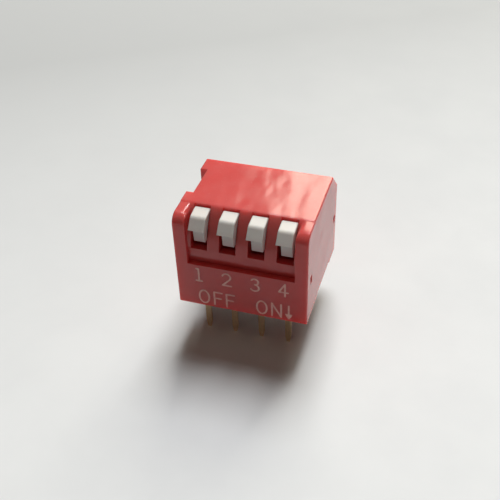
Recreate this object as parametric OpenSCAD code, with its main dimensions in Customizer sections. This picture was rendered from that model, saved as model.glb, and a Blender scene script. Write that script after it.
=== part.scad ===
// Four-way side-operated switch block for a 2.54 mm through-hole grid.
// X runs along the row of levers, the lever side faces -Y, and +Z points up from the board.
// The origin is the middle of the terminal grid on the board's surface. Sizes are millimetres.
// Each lever rocks about X on two stub pins. Its tail carries a sprung clip that wipes two pads.

/* [Terminal grid] */
// Distance from one lever to the next, and from one pin to the next in a row
pitch = 2.54; // [2.5:0.01:2.6]
// Distance between the front row and the rear row of pins
row_spacing = 7.62; // [7.5:0.02:7.8]
// Reach of the pins below the board's surface
pin_reach = 4.15; // [3:0.05:5]
// Width of a pin
pin_w = 0.56; // [0.45:0.01:0.65]
// Thickness of the metal strip of pins and pads
strip_t = 0.25; // [0.2:0.01:0.3]
// Width of the tip of a pin
pin_tip_w = 0.3; // [0.2:0.02:0.4]
// Length of the tapered end of a pin
pin_taper = 0.7; // [0.4:0.05:1]
// Width of a contact pad
pad_w = 0.9; // [0.75:0.01:1]
// Inside radius of the bend between pad and pin
bend_r = 0.12; // [0.05:0.01:0.2]
// Gap between the front pad and the rear pad
pad_split = 0.25; // [0.2:0.01:0.35]

/* [Housing] */
// Length of the housing along the row of levers
body_length = 11.8; // [11.5:0.05:13]
// Depth of the housing from the lever side to the back
body_depth = 10.95; // [10.7:0.05:11.6]
// Height of the housing above the board
body_height = 9.55; // [9.3:0.05:10.2]
// Thickness of the front wall
front_wall = 0.9; // [0.7:0.05:1]
// Thickness of the back wall
rear_wall = 0.5; // [0.45:0.05:1]
// Thickness of the top
roof = 1; // [0.8:0.05:1.1]
// Size of the slope along the top back edge
back_chamfer = 2; // [1:0.05:2.3]
// Depth of the keyway in the left end
keyway_depth = 0.7; // [0.3:0.01:0.72]
// Width of the keyway in the left end
keyway_w = 3.66; // [3:0.02:4.5]
// Width of the notch in the bottom edge of each end
notch_w = 4.6; // [3.5:0.1:5.4]
// Height of the notch in the bottom edge of each end
notch_h = 0.3; // [0.15:0.05:0.35]
// How far the notch lies behind the middle of the end
notch_back = 0.9; // [0.5:0.05:1.2]

/* [Lever bay] */
// Height of the bay's floor above the board
bay_floor = 4.58; // [4.4:0.02:4.8]
// Thickness of the wall under the bay
bay_wall = 0.45; // [0.3:0.01:0.8]
// Width of the post at each end of the bay
post_w = 1.12; // [1:0.01:1.25]
// Radius of the top front edge of the posts
post_round = 1; // [0.5:0.05:1.2]
// Radius of the top inner edge of the posts
post_edge = 0.4; // [0.1:0.05:0.5]
// How far the top of the posts lies below the top plate
post_drop = 0.07; // [0.05:0.01:0.15]
// Distance from the front face to the front edge of the top plate
plate_setback = 2.26; // [2.1:0.005:2.3]
// Radius that blends the top plate's front edge into the curved wall
plate_round = 0.6; // [0.55:0.05:0.9]
// Thickness of the curved wall behind the lever heads
guide_wall = 0.8; // [0.6:0.02:0.9]
// Side gap between a lever and its slot
slot_gap = 0.025; // [0.02:0.005:0.04]
// Gap left under a lever's arm at the end of its travel
slot_rest = 0.03; // [0.02:0.01:0.16]
// Depth of the shelf behind a slot's lower edge
sill_shelf = 0.7; // [0.5:0.05:0.9]

/* [Levers] */
// Angle a lever turns from off to on, in degrees
travel = 9.5; // [9:0.5:12]
// Width of a lever's head
lever_w = 1.42; // [1.36:0.01:1.44]
// Width of the arm below the head
arm_w = 0.98; // [0.85:0.01:1.1]
// Depth of the head's top from back to nose
head_top_depth = 1.32; // [1.1:0.01:1.4]
// How far the head's top lies below the top plate
head_drop = 0.26; // [0.2:0.01:0.3]
// How far the head's top falls towards its nose
nose_fall = 0.17; // [0.1:0.01:0.2]
// Radius of the nose
nose_round = 0.55; // [0.1:0.01:0.6]
// Height of the head's front below the top plate
head_h = 1.35; // [1.25:0.01:1.45]
// How far the head's lower front edge lies behind the front face
head_inset = 0.09; // [0.05:0.01:0.15]
// How far the front of the arm lies behind the front face
arm_inset = 0.2; // [0.2:0.01:0.3]
// How far the arm's front leans back towards its lower edge
arm_lean = 0.12; // [0:0.01:0.2]
// Radius of the arm's lower front edge
arm_round = 0.15; // [0.1:0.01:0.25]
// How far the bottom of the arm lies below the top plate
arm_drop = 2.6; // [2.45:0.01:2.65]
// Gap between the head and the front edge of the top plate
head_gap = 0.08; // [0.05:0.01:0.1]

/* [Pivots] */
// How far the pivots lie behind the middle of the housing
pivot_back = 0.5; // [0.4:0.01:0.6]
// Height of the pivots above the board
pivot_z = 5.5; // [5.45:0.01:5.6]
// Radius of a stub pin
stub_r = 0.45; // [0.35:0.01:0.48]
// Length of a stub pin
stub_len = 0.3; // [0.25:0.01:0.32]
// Radial clearance of a stub pin in its bearing
stub_fit = 0.05; // [0.03:0.01:0.08]
// Radius of a lever's hub
hub_r = 0.75; // [0.65:0.01:0.8]
// Gap between a hub and the ribs beside it
hub_gap = 0.06; // [0.04:0.01:0.08]
// Length of the bearing ribs from front to back
bearing_len = 2.4; // [1.8:0.1:3]

/* [Tails and clips] */
// Length of a lever's tail from the pivot
tail_len = 2.95; // [2.8:0.01:3.05]
// Thickness of a tail from front to back
tail_t = 1.24; // [1.15:0.01:1.3]
// Width of a tail along the row
tail_w = 1.2; // [1:0.01:1.3]
// Depth of the slot in a tail that holds its clip
clip_slot = 0.85; // [0.75:0.01:0.95]
// Width of a clip along the row
clip_w = 0.8; // [0.6:0.01:0.9]
// Thickness of a clip's sheet
clip_t = 0.15; // [0.12:0.01:0.17]
// Distance between a clip's two legs inside the tail
clip_legs = 0.54; // [0.5:0.01:0.56]
// Distance between a clip's two feet
clip_feet = 0.9; // [0.8:0.01:0.96]
// Gap between a clip's feet and the pads
foot_gap = 0.03; // [0.02:0.005:0.05]

/* [Base] */
// Height of the base's underside above the board
base_lift = 0.35; // [0.3:0.01:0.4]
// Thickness of the base's floor
base_t = 1.4; // [1.3:0.01:1.45]
// Depth of the sealing resin under the base
seal_t = 0.25; // [0.15:0.01:0.28]
// Gap between the base and the housing's walls
base_gap = 0.05; // [0.03:0.01:0.06]
// Gap round the pins in the base and the resin
pin_fit = 0.01; // [0.005:0.001:0.02]
// Thickness of the snap posts at the base's corners
snap_t = 0.45; // [0.4:0.01:0.5]
// Width of the snap posts along the row
snap_w = 0.6; // [0.5:0.01:0.65]
// How far the snap posts stand in from the front and back edges of the base
snap_inset = 0.1; // [0.05:0.01:0.3]
// How far a snap lug stands out into its window
snap_out = 0.9; // [0.3:0.02:1.1]
// Height of a snap window
window_h = 0.8; // [0.6:0.02:1]
// How far the top of a snap window lies below the bay's floor
window_drop = 0.02; // [0:0.01:0.4]
// Gap between a lug and the edges of its window
window_gap = 0.05; // [0.03:0.01:0.07]

/* [Hidden] */
$fn = 64;

// Number of levers
positions = 4;
// Overlap that lets a cut run past a face, and the least one between two shapes that meet
cut = 1;
lap = 0.02;
// Middles of the levers, of the gaps between them and of the two ends
lever_x = [for (i = [0 : positions - 1]) (i - (positions - 1) / 2) * pitch];
rib_x = [for (i = [1 : positions - 1]) (i - positions / 2) * pitch];
ends = [-1, 1];

// Outer faces of the housing and the inner faces of its walls
half_length = body_length / 2;
front_y = -body_depth / 2;
rear_y = body_depth / 2;
cavity_front_y = front_y + front_wall;
cavity_rear_y = rear_y - rear_wall;
cavity_top_z = body_height - roof;

// The lane of each lever, the row of lanes and the bay in front of them
hub_half = lever_w / 2;
lane_half = hub_half + hub_gap;
slot_half = lever_w / 2 + slot_gap;
row_half = lever_x[positions - 1] + lane_half;
bay_half = half_length - post_w;
post_top_z = body_height - post_drop;

// The curved wall is part of a cylinder about the pivots that reaches the plate's front edge
pivot_y = pivot_back;
plate_y = front_y + plate_setback;
guide_r = norm([pivot_y - plate_y, body_height - pivot_z]);
guide_in_r = guide_r - guide_wall;
// The blend touches the cylinder at wall_top and passes the tops of the posts at step
blend_z = body_height - plate_round;
blend_y = pivot_y - sqrt(pow(guide_r - plate_round, 2) - pow(blend_z - pivot_z, 2));
wall_top_angle = atan2(blend_z - pivot_z, blend_y - pivot_y);
step_angle = 180 - asin((post_top_z - blend_z) / plate_round);
step_y = blend_y + plate_round * cos(step_angle);
wall_foot_angle = 180 + asin((pivot_z - bay_floor + cut) / guide_r);
under_bay_z = bay_floor - bay_wall;

// Stub pins and their bearings
bearing_r = stub_r + stub_fit;
stub_end = hub_half + stub_len;
bearing_end = stub_end + hub_gap + slot_gap;
// The ribs stop this far below the middle of the stub pins
bearing_split = 0.05;

// The arm's lower edge points at the pivot, and the slot's lower edge clears it at full travel
arm_z = body_height - arm_drop;
arm_angle = asin((arm_z - pivot_z) / guide_r);
slot_z = pivot_z + guide_in_r * sin(arm_angle - travel) - slot_rest;
// The shelf behind the slot is level and clears the arm at its inner edge
shelf_y = pivot_y - guide_in_r * cos(arm_angle - travel) + sill_shelf;
shelf_z = slot_z - sill_shelf * tan(arm_angle - travel);
arm_left = hub_half - arm_w;
head_back_y = plate_y - head_gap;
head_top_z = body_height - head_drop;
head_low_z = body_height - head_h;
// Chamfer under the head, and the gap between the arm and the inside of the top
head_step = 0.05;
neck_gap = 0.16;
neck_z = cavity_top_z - neck_gap;
nose_y = head_back_y - head_top_depth;
nose_z = head_top_z - nose_fall;

// A tail stands upright halfway through the travel
tail_tilt = -travel / 2;
pad_top_z = base_lift + base_t;
// A foot is a bead on the end of the sheet, with this radius for each unit of its thickness
foot_bead = 0.75;
foot_r = clip_t * foot_bead;
foot_y = clip_feet / 2;
foot_z = -(pivot_z - pad_top_z - foot_gap - foot_r - foot_y * sin(travel / 2)) / cos(travel / 2);
clip_top_z = -(tail_len - clip_slot) - clip_t / 2;
clip_slot_half = clip_legs / 2 + clip_t / 2 + pin_fit;

// Pads: off leaves both feet on the front pad, on lets the feet bridge the split
pin_y = row_spacing / 2;
split_y = pivot_y + foot_y - foot_z * sin(-travel / 2) + foot_r + pad_split;
front_pad_len = pin_y + split_y - pad_split / 2;
rear_pad_len = pin_y - split_y - pad_split / 2;
shoulder_z = pad_top_z - strip_t - bend_r - strip_t;
pin_half_t = strip_t / 2;

// Base, its posts and the windows they snap into
base_half = row_half - base_gap;
base_front_y = cavity_front_y + base_gap;
base_rear_y = cavity_rear_y - base_gap;
rib_gap = 0.02;
rib_half = pitch / 2 - lane_half - rib_gap;
rest_gap = 0.03;
rest_half = bearing_r - rest_gap;
rest_z = pivot_z - bearing_split;
snap_front_y = base_front_y + snap_inset;
snap_rear_y = base_rear_y - snap_inset - snap_t;
window_top_z = bay_floor - window_drop;
window_z = window_top_z - window_h;
lug_z = window_z + window_gap;
snap_top_z = min(under_bay_z, window_top_z) - window_gap;
// Share of a lug's height that is upright, below its ramp
lug_flat = 1 / 3;

// A solid drawn as a (y, z) outline and carried along X from x0 to x1
module x_prism(outline, x0, x1) {
    translate([x0, 0, 0]) rotate([90, 0, 90]) linear_extrude(x1 - x0) polygon(outline);
}

// A solid drawn as an (x, z) outline and carried along Y from y0 to y1
module y_prism(outline, y0, y1) {
    translate([0, y1, 0]) rotate([90, 0, 0]) linear_extrude(y1 - y0) polygon(outline);
}

// A round rod along X
module x_rod(r, x0, x1, y = 0, z = 0) {
    translate([x0, y, z]) rotate([0, 90, 0]) cylinder(r = r, h = x1 - x0);
}

// A block given by its lowest and highest corners
module block(low, high) {
    translate(low) cube(high - low);
}

// Points of an arc of radius r about (u, v), from one angle to another, from point number first on
function arc(u, v, r, from, to, steps = 8, first = 0) =
    [for (i = [first : steps]) let (a = from + (to - from) * i / steps) [u + r * cos(a), v + r * sin(a)]];

// The corner at b, between a and c, rounded with radius r
function rounded(a, b, c, r, steps = 6) =
    let (
        u = (a - b) / norm(a - b),
        v = (c - b) / norm(c - b),
        half = acos(u * v) / 2,
        centre = b + (u + v) / norm(u + v) * r / sin(half),
        start = b + u * r / tan(half) - centre,
        from = atan2(start[1], start[0]),
        finish = b + v * r / tan(half) - centre,
        swing = atan2(finish[1], finish[0]) - from,
        turn = swing > 180 ? swing - 360 : swing < -180 ? swing + 360 : swing
    )
    [for (i = [0 : steps]) centre + r * [cos(from + turn * i / steps), sin(from + turn * i / steps)]];

// ---- Housing ----

// Side outline of the housing: rounded posts, the soft step up to the plate, and the sloped back
cover_outline = concat(
    [[front_y, 0]],
    arc(front_y + post_round, post_top_z - post_round, post_round, 180, 90),
    arc(blend_y, blend_z, plate_round, step_angle, 90, 5),
    [[rear_y - back_chamfer, body_height], [rear_y, body_height - back_chamfer], [rear_y, 0]]
);

// Side outline of what stays behind the bay: the curved wall and its blend into the plate
wall_outline = concat(
    arc(pivot_y, pivot_z, guide_r, wall_foot_angle, wall_top_angle, 20),
    arc(blend_y, blend_z, plate_round, wall_top_angle, step_angle, 3, first = 1),
    [[pivot_y, post_top_z], [pivot_y, bay_floor - cut]]
);

// Room for one lever between the ribs, above the pivots
lane_slope = max(lap, back_chamfer - (roof + rear_wall) + max(roof, rear_wall) * sqrt(2));
lane_outline = [
    [pivot_y - cut, pivot_z], [pivot_y - cut, cavity_top_z],
    [cavity_rear_y - lane_slope, cavity_top_z], [cavity_rear_y, cavity_top_z - lane_slope],
    [cavity_rear_y, pivot_z]
];

// Room in front of the pivots, inside the curved wall, from z0 to z1
module front_room(x0, x1, z0, z1) {
    intersection() {
        x_rod(guide_in_r, x0, x1, pivot_y, pivot_z);
        block([x0, front_y, z0], [x1, pivot_y, z1]);
    }
}

// Front outline of the bay, which flares where the posts' top inner edges are rounded
bay_outline = concat(
    [[-bay_half, bay_floor], [bay_half, bay_floor]],
    arc(bay_half + post_edge, post_top_z - post_edge, post_edge, 180, 90),
    [[bay_half + post_edge, body_height + cut], [-bay_half - post_edge, body_height + cut]],
    arc(-bay_half - post_edge, post_top_z - post_edge, post_edge, 90, 0)
);

// The bay that the heads stand in, open to the front and the top
module lever_bay() {
    difference() {
        y_prism(bay_outline, front_y - cut, step_y);
        x_prism(wall_outline, -half_length, half_length);
    }
}

// The slot in the curved wall for the lever at x
module lever_slot(x) {
    block([x - slot_half, front_y - cut, slot_z], [x + slot_half, plate_y, body_height + cut]);
    block([x - slot_half, plate_y - cut, slot_z], [x + slot_half, pivot_y, cavity_top_z]);
}

// Bearing pockets for both stub pins of the lever at x
module bearing(x) {
    x_rod(bearing_r, x - bearing_end, x + bearing_end, pivot_y, pivot_z);
}

// Everything hollow inside the housing
module cover_inside() {
    block([-row_half, cavity_front_y, -cut], [row_half, cavity_rear_y, under_bay_z]);
    block([-row_half, pivot_y - cut, -cut], [row_half, cavity_rear_y, pivot_z]);
    front_room(-row_half, row_half, under_bay_z - cut, pivot_z);
    for (x = lever_x) {
        front_room(x - lane_half, x + lane_half, shelf_z, cavity_top_z);
        block([x - lane_half, shelf_y, pivot_z - cut], [x + lane_half, pivot_y, shelf_z + cut]);
        x_prism(lane_outline, x - lane_half, x + lane_half);
        bearing(x);
    }
    // Channels that let the end bearings slide in from below
    block([-lever_x[positions - 1] - bearing_end, pivot_y - bearing_r, -cut],
        [lever_x[positions - 1] + bearing_end, pivot_y + bearing_r, pivot_z]);
}

// Snap windows and the notch in the bottom edge of one end
module end_cuts(side) {
    x0 = side > 0 ? row_half - lap : -half_length - cut;
    x1 = side > 0 ? half_length + cut : -row_half + lap;
    for (y = [snap_front_y, snap_rear_y])
        block([x0, y - window_gap, window_z], [x1, y + snap_t + window_gap, window_top_z]);
    block([x0, notch_back - notch_w / 2, -cut], [x1, notch_back + notch_w / 2, notch_h]);
}

module cover() {
    color([0.72, 0.13, 0.15])
    difference() {
        x_prism(cover_outline, -half_length, half_length);
        cover_inside();
        lever_bay();
        for (x = lever_x) lever_slot(x);
        for (side = ends) end_cuts(side);
        block([-half_length - cut, -keyway_w / 2, -cut],
            [-half_length + keyway_depth, keyway_w / 2, body_height + cut]);
    }
}

// ---- Base, terminals and resin ----

// Room in the base for a terminal: the pad's recess, the shoulder and the pin
module terminal_room(pad_len) {
    wide = pad_w / 2 + pin_fit;
    thin = pin_half_t + pin_fit;
    block([-wide, -pin_y - thin, pad_top_z - strip_t], [wide, -pin_y + pad_len + pin_fit, pad_top_z + cut]);
    block([-wide, -pin_y - thin, shoulder_z - pin_fit], [wide, -pin_y + thin + bend_r, pad_top_z]);
    block([-pin_w / 2 - pin_fit, -pin_y - thin, -cut], [pin_w / 2 + pin_fit, -pin_y + thin, pad_top_z]);
}

// Side outline of a bent terminal, from its pad down to its shoulder
function terminal_outline(pad_len) = concat(
    [[-pin_y + pad_len, pad_top_z]],
    arc(-pin_y + pin_half_t + bend_r, pad_top_z - strip_t - bend_r, bend_r + strip_t, 90, 180),
    [[-pin_y - pin_half_t, shoulder_z], [-pin_y + pin_half_t, shoulder_z]],
    arc(-pin_y + pin_half_t + bend_r, pad_top_z - strip_t - bend_r, bend_r, 180, 90),
    [[-pin_y + pad_len, pad_top_z - strip_t]]
);

// Front outline of a pin with its tapered tip
pin_outline = [
    [-pin_w / 2, shoulder_z + strip_t / 2], [-pin_w / 2, pin_taper - pin_reach],
    [-pin_tip_w / 2, -pin_reach], [pin_tip_w / 2, -pin_reach],
    [pin_w / 2, pin_taper - pin_reach], [pin_w / 2, shoulder_z + strip_t / 2]
];

// A terminal of the front row, at x = 0
module terminal(pad_len) {
    color([0.83, 0.62, 0.24]) {
        x_prism(terminal_outline(pad_len), -pad_w / 2, pad_w / 2);
        y_prism(pin_outline, -pin_y - pin_half_t, -pin_y + pin_half_t);
    }
}

module front_terminal(n) {
    translate([lever_x[n - 1], 0, 0]) terminal(front_pad_len);
}

module rear_terminal(n) {
    translate([lever_x[n - 1], 0, 0]) mirror([0, 1, 0]) terminal(rear_pad_len);
}

// Room for all eight terminals
module all_terminal_rooms() {
    for (x = lever_x) translate([x, 0, 0]) {
        terminal_room(front_pad_len);
        mirror([0, 1, 0]) terminal_room(rear_pad_len);
    }
}

// A corner post from y back, with the lug that snaps into its window
module snap_post(side, y) {
    outer = side * base_half;
    inner = side * (base_half - snap_w);
    tip = side * (base_half + snap_out);
    ramp_z = lug_z + (snap_top_z - lug_z) * lug_flat;
    block([min(outer, inner), y, pad_top_z - cut], [max(outer, inner), y + snap_t, snap_top_z]);
    y_prism([[inner, lug_z], [tip, lug_z], [tip, ramp_z], [outer, snap_top_z], [inner, snap_top_z]],
        y, y + snap_t);
}

module base() {
    color([0.6, 0.1, 0.12])
    difference() {
        union() {
            block([-base_half, base_front_y, base_lift], [base_half, base_rear_y, pad_top_z]);
            for (x = rib_x)
                block([x - rib_half, pivot_y - bearing_len / 2, pad_top_z - cut],
                    [x + rib_half, pivot_y + bearing_len / 2, rest_z]);
            for (side = ends) {
                end_rest(side);
                snap_post(side, snap_front_y);
                snap_post(side, snap_rear_y);
            }
        }
        for (x = lever_x) bearing(x);
        all_terminal_rooms();
    }
}

// The tongue that fills an end wall's channel and carries the outermost stub pin
module end_rest(side) {
    outer = lever_x[positions - 1] + bearing_end - base_gap;
    inner = row_half - lap;
    block([min(side * inner, side * outer), pivot_y - rest_half, base_lift],
        [max(side * inner, side * outer), pivot_y + rest_half, rest_z]);
    block([min(side * (base_half - snap_w), side * outer), pivot_y - rest_half, base_lift],
        [max(side * (base_half - snap_w), side * outer), pivot_y + rest_half, pad_top_z]);
}

module terminal_seal() {
    color([0.12, 0.11, 0.11])
    difference() {
        block([-base_half, base_front_y, base_lift - seal_t], [base_half, base_rear_y, base_lift]);
        all_terminal_rooms();
    }
}

// ---- Levers and their clips ----

// Head outline: sloped top, rounded nose and a front that leans out towards the face
head_outline = concat(
    [[head_back_y, head_low_z - head_step], [head_back_y, head_top_z]],
    rounded([head_back_y, head_top_z], [nose_y, nose_z], [front_y + head_inset, head_low_z], nose_round),
    [[front_y + head_inset, head_low_z], [front_y + head_inset + head_step, head_low_z - head_step]]
);

// Arm outline: from the head down the leaning front, round its lower edge and through the slot
arm_top = [front_y + arm_inset, head_low_z];
arm_foot = [front_y + arm_inset + arm_lean, arm_z];
arm_wall = [pivot_y - guide_r * cos(arm_angle), arm_z];
arm_outline = concat(
    [[head_back_y, head_low_z], arm_top],
    rounded(arm_top, arm_foot, arm_wall, arm_round),
    [arm_wall, [pivot_y, pivot_z], [pivot_y, pivot_z + hub_r], [head_back_y, neck_z]]
);

// The lever at x = 0, at rest in its raised position
module lever_solid() {
    x_prism(head_outline, -hub_half, hub_half);
    x_prism(arm_outline, arm_left, hub_half);
    x_rod(hub_r, -hub_half, hub_half, pivot_y, pivot_z);
    x_rod(stub_r, -stub_end, stub_end, pivot_y, pivot_z);
    translate([0, pivot_y, pivot_z]) rotate([tail_tilt, 0, 0]) difference() {
        block([-tail_w / 2, -tail_t / 2, -tail_len], [tail_w / 2, tail_t / 2, 0]);
        block([-tail_w, -clip_slot_half, -tail_len - cut], [tail_w, clip_slot_half, -tail_len + clip_slot]);
    }
}

module lever(n) {
    color([0.93, 0.92, 0.87])
    translate([lever_x[n - 1], 0, 0]) lever_solid();
}

// One straight stretch of a clip's sheet, with rounded ends
module sheet_run(from, to) {
    along = to - from;
    translate(from) rotate(atan2(along[1], along[0])) {
        translate([0, -clip_t / 2]) square([norm(along), clip_t]);
        circle(d = clip_t);
    }
    translate(to) circle(d = clip_t);
}

// Clip outline in the tail's own frame: a crown, two legs and two splayed feet
module clip_outline() {
    knee_z = -tail_len;
    sheet_run([-clip_legs / 2, clip_top_z], [clip_legs / 2, clip_top_z]);
    for (side = ends) {
        sheet_run([side * clip_legs / 2, clip_top_z], [side * clip_legs / 2, knee_z]);
        sheet_run([side * clip_legs / 2, knee_z], [side * foot_y, foot_z]);
        translate([side * foot_y, foot_z]) circle(r = foot_r);
    }
}

module contact_clip(n) {
    color([0.86, 0.67, 0.3])
    translate([lever_x[n - 1], pivot_y, pivot_z]) rotate([tail_tilt, 0, 0])
    translate([-clip_w / 2, 0, 0]) rotate([90, 0, 90]) linear_extrude(clip_w) clip_outline();
}

cover();
base();
terminal_seal();
lever(1);  // lever_1
lever(2);  // lever_2
lever(3);  // lever_3
lever(4);  // lever_4
contact_clip(1);  // contact_clip_1
contact_clip(2);  // contact_clip_2
contact_clip(3);  // contact_clip_3
contact_clip(4);  // contact_clip_4
front_terminal(1);  // front_terminal_1
front_terminal(2);  // front_terminal_2
front_terminal(3);  // front_terminal_3
front_terminal(4);  // front_terminal_4
rear_terminal(1);  // rear_terminal_1
rear_terminal(2);  // rear_terminal_2
rear_terminal(3);  // rear_terminal_3
rear_terminal(4);  // rear_terminal_4
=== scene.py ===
"""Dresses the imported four-way switch block: moulded plastic, plated pins, resin and printing."""

from __future__ import annotations

import logging
import math
from abc import ABC, abstractmethod
from collections.abc import Callable
from dataclasses import dataclass, field
from enum import Enum

import bmesh
import bpy
import numpy as np
from mathutils import Matrix, Vector

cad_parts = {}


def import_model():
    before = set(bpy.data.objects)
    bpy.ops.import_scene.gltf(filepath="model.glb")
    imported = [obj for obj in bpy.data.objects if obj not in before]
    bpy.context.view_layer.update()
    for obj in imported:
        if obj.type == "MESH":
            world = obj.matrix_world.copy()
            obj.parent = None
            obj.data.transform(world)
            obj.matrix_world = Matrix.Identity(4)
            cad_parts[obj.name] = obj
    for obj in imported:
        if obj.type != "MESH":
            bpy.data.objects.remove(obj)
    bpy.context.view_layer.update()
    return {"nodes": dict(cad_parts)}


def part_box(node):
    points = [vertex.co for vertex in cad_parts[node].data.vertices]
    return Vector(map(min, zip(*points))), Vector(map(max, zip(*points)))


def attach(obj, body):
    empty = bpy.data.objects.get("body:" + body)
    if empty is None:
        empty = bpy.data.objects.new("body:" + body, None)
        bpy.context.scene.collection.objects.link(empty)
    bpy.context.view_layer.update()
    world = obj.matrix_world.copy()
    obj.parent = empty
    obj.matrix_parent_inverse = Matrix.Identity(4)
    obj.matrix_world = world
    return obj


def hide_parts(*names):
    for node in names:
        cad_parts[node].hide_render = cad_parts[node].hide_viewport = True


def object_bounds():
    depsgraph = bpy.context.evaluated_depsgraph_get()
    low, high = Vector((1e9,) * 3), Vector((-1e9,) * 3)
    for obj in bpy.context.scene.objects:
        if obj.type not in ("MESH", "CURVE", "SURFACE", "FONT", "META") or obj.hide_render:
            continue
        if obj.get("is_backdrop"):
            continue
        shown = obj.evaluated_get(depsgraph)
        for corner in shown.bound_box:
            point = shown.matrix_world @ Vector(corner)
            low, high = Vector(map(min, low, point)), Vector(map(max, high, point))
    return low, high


LOG = logging.getLogger("switch_block")
MM = 0.001
MICRON = 0.000001
HOUSING_BODY = "housing"
POSITIONS = 4

Color = tuple[float, float, float]
Place = tuple[float, float, float]
Span = tuple[float, float]
Socket = bpy.types.NodeSocket
Nodes = dict[str, bpy.types.Object]
Grade = Callable[[np.ndarray], np.ndarray]

WHOLE: Span = (0.0, 1.0)


class Pattern(Enum):
    """The shared surface effects, by the name of their node group."""

    MOULD = "moulded_surface"
    SCUFF = "edge_scuff"
    BLOTCH = "colour_blotch"
    DUST = "settled_dust"


class Edge(Enum):
    """How soft an edge of a piece is, as a share of the piece's largest radius."""

    HIDDEN = 0.0
    CRISP = 0.18
    SOFT = 0.42
    ROUND = 0.7
    FULL = 1.0


class Row(Enum):
    """The two rows of terminals."""

    FRONT = "front"
    REAR = "rear"


# ---------------------------------------------------------------------------
# Node trees
# ---------------------------------------------------------------------------

# The mix node's sockets for colours, which share their names with those for numbers.
MIX_MASK, MIX_FIRST, MIX_SECOND, MIX_RESULT = 0, 6, 7, 2


@dataclass
class Tree:
    """A node tree under construction, with short ways to add and join nodes."""

    nodes: bpy.types.bpy_prop_collection
    links: bpy.types.bpy_prop_collection

    @classmethod
    def of(cls, owner: bpy.types.NodeTree) -> Tree:
        """Wraps a node tree and empties it."""
        owner.nodes.clear()
        return cls(owner.nodes, owner.links)

    def feed(self, socket: Socket, value: object) -> None:
        """Links an output socket to an input socket, or sets the input's own value.

        Args:
            socket: the input socket.
            value: an output socket, or a plain value.
        """
        if isinstance(value, Socket):
            self.links.new(value, socket)
        else:
            socket.default_value = value

    def add(self, kind: str, inputs: dict | None = None, **settings: object) -> bpy.types.Node:
        """Adds a node.

        Args:
            kind: the node's type name.
            inputs: socket name or index to a value, or to an output socket that feeds it.
            settings: the node's own properties.

        Returns:
            The new node.
        """
        node = self.nodes.new(kind)
        for name, value in settings.items():
            setattr(node, name, value)
        for key, value in (inputs or {}).items():
            self.feed(node.inputs[key], value)
        return node

    def place(self) -> Socket:
        """Adds the Object coordinates."""
        return self.add("ShaderNodeTexCoord").outputs["Object"]

    def part(self, vector: Socket, axis: str) -> Socket:
        """Takes one axis of a vector."""
        return self.add("ShaderNodeSeparateXYZ", {0: vector}).outputs[axis]

    def stretched(self, vector: Socket, scale: Place) -> Socket:
        """Scales a pattern's coordinates along each axis."""
        return self.add("ShaderNodeMapping", {"Vector": vector, "Scale": scale}).outputs[0]

    def noise(self, vector: Socket, scale: object, detail: float = 3.0,
              roughness: float = 0.55) -> Socket:
        """Adds a noise pattern.

        Args:
            vector: the coordinates that it reads.
            scale: features per metre, as a number or a socket.
            detail: number of finer layers.
            roughness: strength of the finer layers.

        Returns:
            The pattern's value, from 0 to 1.
        """
        node = self.add("ShaderNodeTexNoise", {
            "Vector": vector, "Scale": scale, "Detail": detail, "Roughness": roughness})
        return node.outputs["Fac"]

    def math(self, operation: str, first: object, second: object, clamp: bool = False) -> Socket:
        """Adds one step of arithmetic.

        Args:
            operation: the name of the step.
            first: its first value or socket.
            second: its second value or socket.
            clamp: holds the result between 0 and 1.

        Returns:
            The result.
        """
        node = self.add(
            "ShaderNodeMath", {0: first, 1: second}, operation=operation, use_clamp=clamp)
        return node.outputs[0]

    def remap(self, value: Socket, span: Span, target: Span = WHOLE) -> Socket:
        """Maps one range to another and holds the result inside the second.

        Args:
            value: what is mapped.
            span: the range that it is read over.
            target: the range that it is mapped to.

        Returns:
            The mapped value.
        """
        node = self.add("ShaderNodeMapRange", {
            "Value": value, "From Min": span[0], "From Max": span[1],
            "To Min": target[0], "To Max": target[1]})
        return node.outputs["Result"]

    def mix(self, mask: Socket, first: object, second: object) -> Socket:
        """Mixes two colours.

        Args:
            mask: the share of the second colour.
            first: the colour where the mask is 0.
            second: the colour where the mask is 1.

        Returns:
            The mixed colour.
        """
        node = self.add("ShaderNodeMix", {MIX_MASK: mask, MIX_FIRST: first, MIX_SECOND: second},
                        data_type="RGBA", blend_type="MIX")
        return node.outputs[MIX_RESULT]

    def bump(self, height: Socket) -> Socket:
        """Turns a height in metres into a normal."""
        node = self.add("ShaderNodeBump", {"Strength": 1.0, "Distance": 1.0, "Height": height})
        return node.outputs["Normal"]

    def surface(self, inputs: dict[str, object]) -> None:
        """Adds the Principled shader with these inputs, and the material's output."""
        shader = self.add("ShaderNodeBsdfPrincipled", inputs)
        self.add("ShaderNodeOutputMaterial", {"Surface": shader.outputs[0]})


def rgba(color: Color) -> tuple[float, float, float, float]:
    """Adds an opaque alpha to a colour."""
    return (*color, 1.0)


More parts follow.
